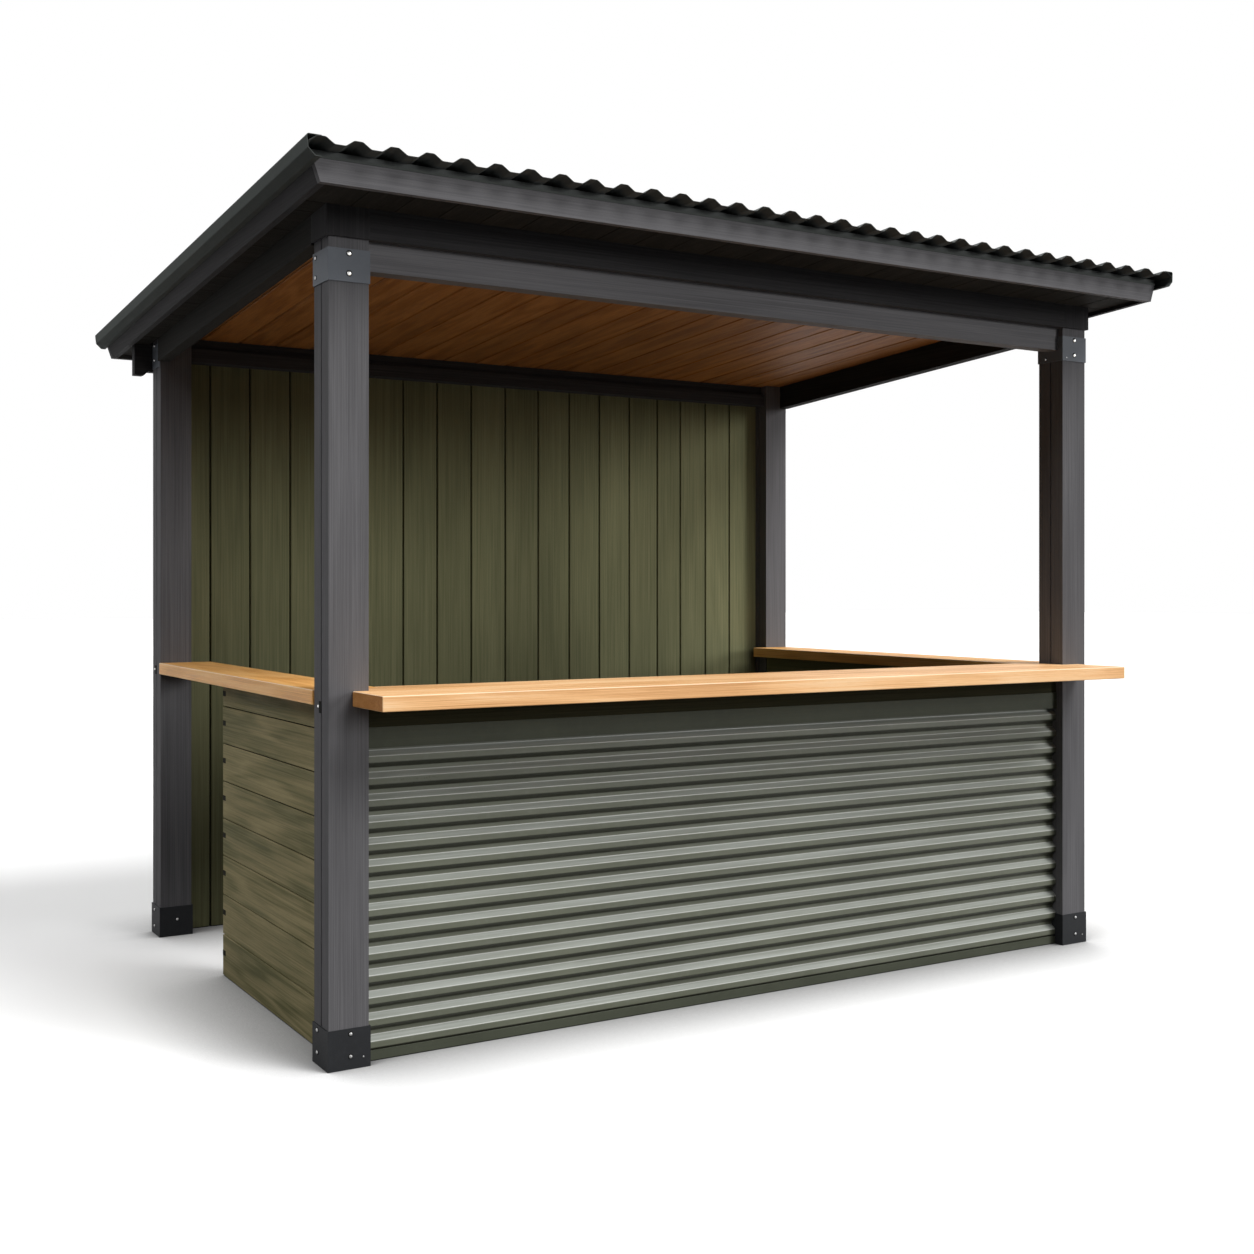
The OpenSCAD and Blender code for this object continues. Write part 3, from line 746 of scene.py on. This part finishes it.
def spread(start: float, end: float, pitch: float, first: float,
           sliver: float = 0.012) -> list[tuple[float, float]]:
    """Splits a run into boards.

    Args:
        start: Where the run starts.
        end: Where it ends.
        pitch: Board width.
        first: Place of one joint.
        sliver: Least width of a cut board at either end.

    Returns:
        The (from, to) pairs of the boards.
    """
    joints = []
    place = first - math.floor((first - start) / pitch) * pitch
    while place < end - sliver:
        if place > start + sliver:
            joints.append(place)
        place += pitch
    ends = [start, *joints, end]
    return list(zip(ends, ends[1:]))


# Sub-assemblies


@dataclass
class Framework:
    """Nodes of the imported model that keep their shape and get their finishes."""

    frame: dict[str, Any]
    groups: tuple[tuple[Finish, tuple[str, ...]], ...] = (
        (CHARCOAL, ("post_front_left", "post_front_right", "post_back_left", "post_back_right")),
        (LIT_CHARCOAL, ("front_beam", "front_fascia", "back_fascia")),
        (SHADED_CHARCOAL[Axis.Z], ("header_caps",)),
        (SHADED_CHARCOAL[Axis.X], ("front_header", "back_beam", "back_header", "rear_beam")),
        (SHADED_CHARCOAL[Axis.Y], ("left_barge", "right_barge")),
        (DEEP_SHADE_CHARCOAL, ("left_beam", "right_beam")),
        (SHOE_STEEL, ("shoe_front_left", "shoe_front_right", "shoe_back_left", "shoe_back_right")),
        (PLATE_STEEL, ("bracket_front_left", "bracket_front_right", "brackets_back")),
        (ROOF_METAL, ("roof_sheet_left", "roof_sheet_middle", "roof_sheet_right", "eave_filler")),
        (EAVE_METAL, ("eave_trim",)),
        (FLASHING, ("verge_flashing_left", "verge_flashing_right")),
        (PINE, ("roof_battens",)),
        (SAGE, ("front_panel",)),
        (TRIM_METAL_SHADED, ("front_trims",)),
        (OLIVE_SHADE_DARKENED[Axis.X], ("front_wall_frame",)),
        (OLIVE_SHADE_DARKENED[Axis.Z], ("left_wall_frame", "right_wall_frame")),
    )

    def build(self) -> None:
        """Dresses the nodes."""
        for finish, names in self.groups:
            for name in names:
                materials = self.frame["nodes"][name].data.materials
                materials.clear()
                materials.append(finish.material)
                LOG.info("%s: %s", name, finish.name)


@dataclass
class BackWall:
    """Upright boards with dark open joints between the back posts.

    Behind the joints runs one tongue in the dark joint finish, painted shade seen through the
    joints, tongue_in under the boards' faces.
    """

    site: Site
    thick: float = 0.033
    gap: float = 0.0070
    ease: float = 0.0018
    tongue_in: float = 0.010
    tongue_end: float = 0.020
    clear: float = 0.001
    joints: tuple[float, ...] = (0.219, 0.382, 0.551, 0.714, 0.880, 1.054, 1.213, 1.377, 1.545,
                                 1.712, 1.873, 2.033, 2.196, 2.352, 2.483, 2.628, 2.770)

    def build(self) -> None:
        """Builds the boards and their tongue."""
        site, bench = self.site, Bench("back_wall_boards", self.ease)
        y0, y1 = site.depth - self.thick, site.depth
        foot_z, shoe, shoe_h, top = site.lift, site.shoe, site.shoe_h, site.ceiling_under(y1)
        ends = [-site.inner_x, *(joint - site.half_w for joint in self.joints), site.inner_x]
        last = len(ends) - 2
        for index, (left, right) in enumerate(zip(ends, ends[1:])):
            a = left + (self.gap / 2 if index else 0.0)
            b = right - (self.gap / 2 if index < last else 0.0)
            foot = [(a, foot_z), (b, foot_z)]
            if index == 0:
                foot = [(a, shoe_h), (a + shoe, shoe_h), (a + shoe, foot_z), (b, foot_z)]
            if index == last:
                foot = [(a, foot_z), (b - shoe, foot_z), (b - shoe, shoe_h), (b, shoe_h)]
            outline = [(x, y0, z) for x, z in [*foot, (b, top), (a, top)]]
            bench.prism(outline, (0.0, self.thick, 0.0))
        half = site.inner_x - self.tongue_end
        # Tongue in the dark joint finish: painted shade behind the open joints.
        bench.board((-half, y0 + self.tongue_in, foot_z + self.clear),
                    (half, y1 - self.tongue_in, top - self.clear), 1)
        bench.finish(site.place, (OLIVE[Axis.Z], JOINT_DARK), "olive_board", "back_wall")


@dataclass
class Ceiling:
    """Boards from front to back under the roof, with a small V at each joint.

    The tongue behind the joints, in a dark finish of painted shade, lies tongue_in over the boards'
    undersides.
    """

    site: Site
    over: float = 0.010
    thick: float = 0.016
    batten: float = 0.034
    pitch: float = 0.1495
    joint: float = 0.476
    gap: float = 0.0056
    ease: float = 0.0028
    tongue_end: float = 0.004
    tongue_in: float = 0.007
    clear: float = 0.003

    def build(self) -> None:
        """Builds the boards."""
        site, bench = self.site, Bench("ceiling_boards", self.ease)
        half, cut = site.half_w + self.over, self.tongue_end
        y0, y1 = -self.over / math.cos(site.pitch), site.depth / math.cos(site.pitch)
        low, high = -self.batten - self.thick, -self.batten
        for a, b in spread(-half, half, self.pitch, self.joint - site.half_w):
            bench.board((a + self.gap / 2, y0, low), (b - self.gap / 2, y1, high))
        # Tongue in the dark joint finish: painted shade behind the open joints.
        bench.board((-half + cut, y0 + cut, low + self.tongue_in),
                    (half - cut, y1 - cut, high - self.clear), 1)
        bench.finish(site.roof, (CEDAR, CEDAR_DARK), "cedar_board", "ceiling")


@dataclass
class Soffit:
    """Dark boards under the four overhangs."""

    site: Site
    thick: float = 0.012
    drop: float = 0.070
    over: float = 0.010
    side_x: float = 1.6144
    front_y: float = -0.206
    rear_y: float = 2.270
    front_pitch: float = 0.134
    front_joint: float = 0.194
    side_pitch: float = 0.200
    side_joint: float = 0.290
    ease: float = 0.0025

    def build(self) -> None:
        """Builds the boards of the front and back overhangs, and of the two sides."""
        site = self.site
        fall, c = math.tan(site.pitch), math.cos(site.pitch)
        low, high = -self.drop, self.thick - self.drop
        x0, x1 = site.half_w + self.over, self.side_x
        front = self.front_y / c + self.drop * fall + self.thick * fall
        inner = -self.over / c + self.drop * fall
        back = (site.depth + site.fit) / c + self.drop * fall
        rear = self.rear_y / c + self.drop * fall - self.thick * fall
        ends = Bench("soffit_boards_front_back", self.ease)
        sides = Bench("soffit_boards_sides", self.ease)
        for y0, y1 in ((front, inner), (back, rear)):
            for a, b in spread(-x1, x1, self.front_pitch, self.front_joint - site.half_w):
                ends.board((a, y0, low), (b, y1, high))
        for a, b in spread(inner + site.fit, back - site.fit, self.side_pitch, self.side_joint):
            sides.board((-x1, a, low), (-x0, b, high))
            sides.board((x0, a, low), (x1, b, high))
        ends.finish(site.roof, [DARK_BOARD[Axis.Y]], "soffit_board", "soffit")
        sides.finish(site.roof, [DARK_BOARD[Axis.X]], "soffit_board", "soffit")


@dataclass
class SideWall:
    """Level boards outside a side half wall.

    side is -1 on the left and 1 on the right. A wall that ends before the back post has small dark
    plates of painted shade, standing for notches, at its open board ends, and the other has screws
    at both ends of each board.
    """

    site: Site
    name: str
    node: str
    side: int
    end_y: float
    thick: float = 0.020
    inset: float = 0.047
    joints: tuple[float, ...] = (0.147, 0.288, 0.425, 0.555, 0.687, 0.819, 0.951)
    gap: float = 0.0042
    ease: float = 0.0014
    jog: float = 0.004
    tongue_in: float = 0.006
    tongue_end: float = 0.010
    clear: float = 0.001
    plate_from: float = 0.036
    plate_to: float = 0.002
    plate_half: float = 0.009
    plate_sunk: float = 0.002
    plate_proud: float = 0.0004
    screw_in: float = 0.030
    screw_low: float = 0.014
    screw_high: float = 0.016
    screw_sunk: float = 0.0012
    screw: Profile = ((0.0044, 0.0), (0.0044, 0.0008), (0.0034, 0.0015), (0.0, 0.0018))

    def build(self) -> None:
        """Builds the boards, their tongue and their fixings."""
        site, bench = self.site, Bench(self.name, self.ease)
        face = site.half_w - self.inset
        x0, x1 = sorted((self.side * face, self.side * (face - self.thick)))
        start, end = site.post_w, self.end_y
        full = math.isclose(end, site.inner_back_y)
        ends = (site.lift - self.gap / 2, *self.joints, site.bar_under + self.gap / 2)
        rows = [(low + self.gap / 2, high - self.gap / 2) for low, high in zip(ends, ends[1:])]
        draw = random.Random(11)
        for low, high in rows:
            cut = site.shoe if low < site.shoe_h else 0.0
            back = end - cut if full else end - draw.uniform(0.0, self.jog)
            bench.board((x0, start + cut, low), (x1, back, high))
        # Tongue in the dark joint finish: painted shade behind the open joints.
        bench.board((x0 + self.tongue_in, start + self.tongue_end, site.lift + self.clear),
                    (x1 - self.tongue_in, end - self.tongue_end, site.bar_under - self.clear), 1)
        a, b = sorted((self.side * (face - self.plate_sunk), self.side * (face + self.plate_proud)))
        for low, high in rows:
            if not full:
                # Dark plates: painted shade standing for notches at the board ends.
                z = low * 0.44 + high * 0.56
                bench.board((a, end - self.plate_from, z - self.plate_half),
                            (b, end - self.plate_to, z + self.plate_half), 1)
                continue
            for y in (start + self.screw_in, end - self.screw_in):
                for z in (low + self.screw_low, high - self.screw_high):
                    bench.turned(self.screw, (self.side * (face - self.screw_sunk), y, z),
                                 (self.side, 0, 0), 10, 1)
        bench.finish(site.place, (WEATHERED, JOINT_DARK), "olive_board", self.node)


@dataclass
class Lining:
    """Level lining boards inside the three half walls."""

    site: Site
    thick: float = 0.012
    front_y: float = 0.091
    side_x: float = 1.420
    left_end: float = 1.216
    pitch: float = 0.134
    joint: float = 0.154
    ease: float = 0.0012

    def build(self) -> None:
        """Builds the lining of the front, left and right half walls."""
        site = self.site
        face = self.side_x - self.thick
        front = Bench("lining_boards_front", self.ease)
        sides = Bench("lining_boards_sides", self.ease)
        for low, high in spread(site.lift, site.bar_under, self.pitch, self.joint):
            cut = site.shoe if low < site.shoe_h else 0.0
            front.board((cut - site.inner_x, self.front_y, low),
                        (site.inner_x - cut, self.front_y + self.thick, high))
            sides.board((-self.side_x, site.post_w + cut, low), (-face, self.left_end, high))
            sides.board((face, site.post_w + cut, low),
                        (self.side_x, site.inner_back_y - cut, high))
        front.finish(site.place, [OLIVE[Axis.X]], "olive_board", "wall_lining")
        sides.finish(site.place, [OLIVE[Axis.Y]], "olive_board", "wall_lining")


@dataclass
class BarTops:
    """Bar tops with eased edges, one across the front, notched round the posts, and two sides."""

    site: Site
    front_over: float = 0.228
    left_in: float = 0.071
    right_in: float = 0.038
    front_in: float = 0.160
    side_over: float = 0.006
    side_in: float = 0.198
    joint: float = 0.0005
    ease: float = 0.0028
    rounds: int = 3
    end_facing: float = 0.95

    def build(self) -> None:
        """Builds the three bar tops."""
        site = self.site
        left, right = self.left_in - site.half_w, site.half_w - self.right_in
        post_x, side_x = site.inner_x - site.fit, site.half_w - self.side_in
        plan = [(left, -self.front_over), (right, -self.front_over), (right, -site.fit),
                (post_x, -site.fit), (post_x, site.post_w), (side_x, site.post_w),
                (side_x, self.front_in), (-side_x, self.front_in), (-side_x, site.post_w),
                (-post_x, site.post_w), (-post_x, -site.fit), (left, -site.fit)]
        front = Bench("bar_top_front", self.ease, self.rounds)
        front.prism([(x, y, site.bar_under) for x, y in plan], (0.0, 0.0, site.bar_t))
        front.mesh.normal_update()
        for face in front.mesh.faces:
            face.material_index = int(abs(face.normal.x) > self.end_facing)
        front.finish(site.place, (OAK[Axis.X], OAK_END), "oak_board", "front_counter")
        for name, node, side in (("bar_top_left", "left_counter", -1),
                                 ("bar_top_right", "right_counter", 1)):
            bench = Bench(name, self.ease, self.rounds)
            x0, x1 = sorted((side * (site.half_w + self.side_over), side * (side_x + self.joint)))
            bench.board((x0, site.post_w + self.joint, site.bar_under),
                        (x1, site.inner_back_y - site.fit, site.bar_z))
            bench.finish(site.place, [OAK[Axis.Y]], "oak_board", node)


@dataclass
class Bolts:
    """Domed bolts on dark washers on the shoes and brackets, and screws beside some of them.

    plate, side_plate and wall are how far the faces of the front brackets, of the back plates and
    of the shoes stand out from the posts.
    """

    site: Site
    head: float = 0.0068
    small: float = 0.0056
    proud: float = 0.0046
    rim: float = 0.0012
    root: float = 0.0004
    plate: float = 0.0033
    side_plate: float = 0.0030
    wall: float = 0.0043
    bracket_z: tuple[float, float] = (2.321, 2.264)
    shoe_z: tuple[float, float] = (0.101, 0.037)
    slot: float = 0.0005
    slot_sunk: float = 0.001
    slot_y: tuple[float, float] = (-0.014, 0.004)
    slot_z: tuple[float, float] = (-0.019, 0.015)
    arc: tuple[float, ...] = (0.45, 0.9, 1.25)

    def dome(self, radius: float, proud: float) -> Profile:
        """(radius, height) points of a domed head, from the rim to the tip."""
        tops = [(math.cos(a), math.sin(a)) for a in self.arc]
        return ((radius, -self.root), (radius, self.rim),
                *((radius * x, self.rim + (proud - self.rim) * z) for x, z in tops), (0.0, proud))

    def bolt(self, bench: Bench, radius: float, foot: Point, facing: Point, material: int) -> None:
        """Adds a head and its washer.

        Args:
            bench: The mesh.
            radius: The head's radius.
            foot: Where it meets its plate.
            facing: Direction that it faces.
            material: Material slot of the head.
        """
        bench.turned(self.dome(radius, self.proud), foot, facing, 14, material)
        rim = radius * 1.3
        washer = ((rim, -self.root), (rim, 0.0007), (rim - 0.0003, 0.0010), (0.0, 0.0010))
        bench.turned(washer, foot, facing, 14, 2)

    def build(self) -> None:
        """Builds all bolts and screws."""
        site, bench = self.site, Bench("bolts")
        tiny, front, back = self.dome(0.0027, 0.0022), (0, -1, 0), (0, 1, 0)
        for side in (-1, 1):
            outer, out = side * site.half_w, (side, 0, 0)
            centre = side * (site.half_w - site.post_w / 2)
            small = []
            for z in self.bracket_z:
                self.bolt(bench, self.head, (centre, -self.plate, z), front, 0)
                small += [((outer + side * self.plate, 0.098, z - 0.002), out),
                          ((outer + side * self.side_plate, site.depth - 0.038, z + 0.006), out)]
            small.append(((side * (site.inner_x - self.plate), 0.083, 2.254), (-side, 0, 0)))
            for z in self.shoe_z:
                small += [((centre + 0.004, -self.wall, z), front),
                          ((outer + side * self.wall, 0.081, z), out),
                          ((outer + side * self.wall, site.depth - 0.048, z - 0.004), out),
                          ((centre, site.depth + self.wall, z), back)]
            small.append(((centre + 0.004, site.inner_back_y - self.wall, 0.065), front))
            for foot, facing in small:
                self.bolt(bench, self.small, foot, facing, 1)
            bench.turned(tiny, (centre + 0.042, -self.wall, 0.031), front, 10, 1)
            # Dark boxes: painted shade standing for slots in the posts' outer faces.
            x0, x1 = sorted((outer - side * self.slot_sunk, outer + side * self.slot))
            for y, z in ((0.076, 1.030), (site.depth - 0.042, 1.047)):
                bench.board((x0, y + self.slot_y[0], z + self.slot_z[0]),
                            (x1, y + self.slot_y[1], z + self.slot_z[1]), 2)
                bench.turned(self.dome(0.0042, 0.0028), (outer, y + 0.009, z), out, 10)
        bench.turned(tiny, (site.inner_x + 0.018, -self.plate, 2.252), front, 10, 1)
        bench.finish(site.place, (BOLT_STEEL, DULL_STEEL, DARK_WASHER_AND_SLOT_SHADE), "plate_steel")


# Studio


@dataclass(frozen=True)
class Lamp:
    """A soft lamp, far away.

    side is its bearing from the front towards the right, height its height above the ground and
    spread the width of its disc, all in degrees. At a level of 1 a facing colour shows as written.
    """

    name: str
    side: float
    height: float
    spread: float
    level: float

    def build(self) -> None:
        """Builds the lamp."""
        data = bpy.data.lights.new(self.name, "SUN")
        data.angle = math.radians(self.spread)
        data.energy = self.level * math.pi
        lamp = bpy.data.objects.new(self.name, data)
        lamp.rotation_euler = (math.radians(90.0 - self.height), 0.0, math.radians(self.side))
        bpy.context.scene.collection.objects.link(lamp)


@dataclass
class Studio:
    """Pale floor, white surroundings, soft lamps and the camera at the photograph's angle.

    sky is the level of the surroundings where they only light. The floor glows by floor_glow, is as
    pale as floor_tone where it only lights, and carries painted shade within near of
    what stands on it, by the power nearness.
    """

    site: Site
    eye: Point = (-2.9846, -4.0658, 1.3721)
    yaw: float = math.radians(31.0)
    focal_px: float = 1500.0
    image_px: float = 1254.0
    horizon_px: float = 587.0
    sensor: float = 36.0
    reach: float = 200.0
    sky: float = 0.04
    floor_half: float = 60.0
    floor_pale: tuple[float, float] = (0.90, 0.92)
    floor_mottle: tuple[float, float] = (0.95, 1.05)
    floor_glow: float = 0.16
    floor_tone: float = 0.08
    near: float = 0.45
    nearness: float = 1.5
    fill: float = 2.0
    fill_size: tuple[float, float] = (2.4, 0.3)
    fill_spread: float = math.radians(60.0)
    fill_at: Point = (0.55, 0.25, 1.40)
    lamps: tuple[Lamp, ...] = (
        Lamp("key", 34.0, 50.0, 32.0, 0.92),
        Lamp("mid", 36.0, 11.0, 17.0, 0.43),
        Lamp("top", 0.0, 84.0, 70.0, 0.17),
        Lamp("left", -76.0, 44.0, 26.0, 0.34),
        Lamp("rear", 176.0, 40.0, 60.0, 0.30),
    )

    def build(self) -> None:
        """Builds the floor, the world, the lamps and the camera."""
        self._floor()
        self._world()
        for lamp in self.lamps:
            lamp.build()
        self._fill()
        self._camera()
        bpy.context.scene.view_settings.view_transform = "Standard"

    def _floor(self) -> None:
        """Lays a wide pale floor."""
        mesh = bmesh.new()
        bmesh.ops.create_grid(mesh, x_segments=1, y_segments=1, size=self.floor_half)
        data = bpy.data.meshes.new("floor")
        mesh.to_mesh(data)
        mesh.free()
        sheet = Sheet(bpy.data.materials.new("floor"))
        cloud = sheet.noise(sheet.place(), 0.8, 3.0).span(0.3, 0.7)
        # Painted shade: the floor's paint and glow darken near what stands on it.
        painted_contact_shade = sheet.add("ShaderNodeAmbientOcclusion", {"samples": 8}, Distance=self.near,
                             out="AO")
        painted_contact_shade = painted_contact_shade.math("POWER", painted_contact_shade, self.nearness)
        pale = sheet.blend(cloud, *(scaled(WHITE, level) for level in self.floor_pale))
        paint = sheet.add("ShaderNodeBsdfDiffuse", {}, sheet.blend(painted_contact_shade, BLACK, pale))
        glow = sheet.add("ShaderNodeEmission", {}, sheet.blend(painted_contact_shade, BLACK, WHITE),
                         self.floor_glow)
        white = sheet.add("ShaderNodeAddShader", {}, paint, glow)
        tone = scaled(WHITE, self.floor_tone)
        grey = sheet.blend(cloud, *(scaled(tone, level) for level in self.floor_mottle))
        bounce = sheet.add("ShaderNodeBsdfDiffuse", {}, grey)
        both = sheet.add("ShaderNodeMixShader", {}, sheet.seen(), bounce, white)
        sheet.add("ShaderNodeOutputMaterial", {}, both)
        data.materials.append(sheet.owner)
        floor = bpy.data.objects.new("floor", data)
        bpy.context.scene.collection.objects.link(floor)

    def _world(self) -> None:
        """Makes the surroundings white where they are seen, and dimmer where they only light."""
        world = bpy.data.worlds.new("studio")
        bpy.context.scene.world = world
        sheet = Sheet(world)
        level = sheet.seen().span(0.0, 1.0, self.sky, 1.0)
        back = sheet.add("ShaderNodeBackground", {}, WHITE, level)
        sheet.add("ShaderNodeOutputWorld", {}, back)

    def _fill(self) -> None:
        """Adds the soft panel of light between the front posts, turned to the back wall."""
        data = bpy.data.lights.new("fill", "AREA")
        data.shape = "RECTANGLE"
        data.size, data.size_y = self.fill_size
        data.spread = self.fill_spread
        data.energy = self.fill
        lamp = bpy.data.objects.new("fill", data)
        lamp.location = (self.fill_at[0], self.fill_at[1] - self.site.mid, self.fill_at[2])
        lamp.rotation_euler = (math.pi / 2, 0.0, 0.0)
        lamp.visible_camera = lamp.visible_glossy = False
        bpy.context.scene.collection.objects.link(lamp)

    def _camera(self) -> None:
        """Sets the camera: level, turned by yaw, with the horizon moved by shift."""
        data = bpy.data.cameras.new("camera")
        data.sensor_width = self.sensor
        data.lens = self.sensor * self.focal_px / self.image_px
        data.shift_y = -(self.image_px / 2 - self.horizon_px) / self.image_px
        data.clip_end = self.reach
        camera = bpy.data.objects.new("camera", data)
        camera.location = (self.eye[0], self.eye[1] - self.site.mid, self.eye[2])
        camera.rotation_euler = (math.pi / 2, 0.0, -self.yaw)
        bpy.context.scene.collection.objects.link(camera)
        bpy.context.scene.camera = camera


def main() -> None:
    """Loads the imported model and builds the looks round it."""
    logging.basicConfig(level=logging.INFO, format="%(name)s: %(message)s")
    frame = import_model()
    site = Site()
    for assembly in (
        Studio(site),
        Framework(frame),
        BackWall(site),
        Ceiling(site),
        Soffit(site),
        SideWall(site, "left_wall_planks", "left_wall_boards", -1, 1.216),
        SideWall(site, "right_wall_planks", "right_wall_boards", 1, site.inner_back_y),
        Lining(site),
        BarTops(site),
        Bolts(site),
    ):
        assembly.build()


if __name__ == "__main__":
    main()
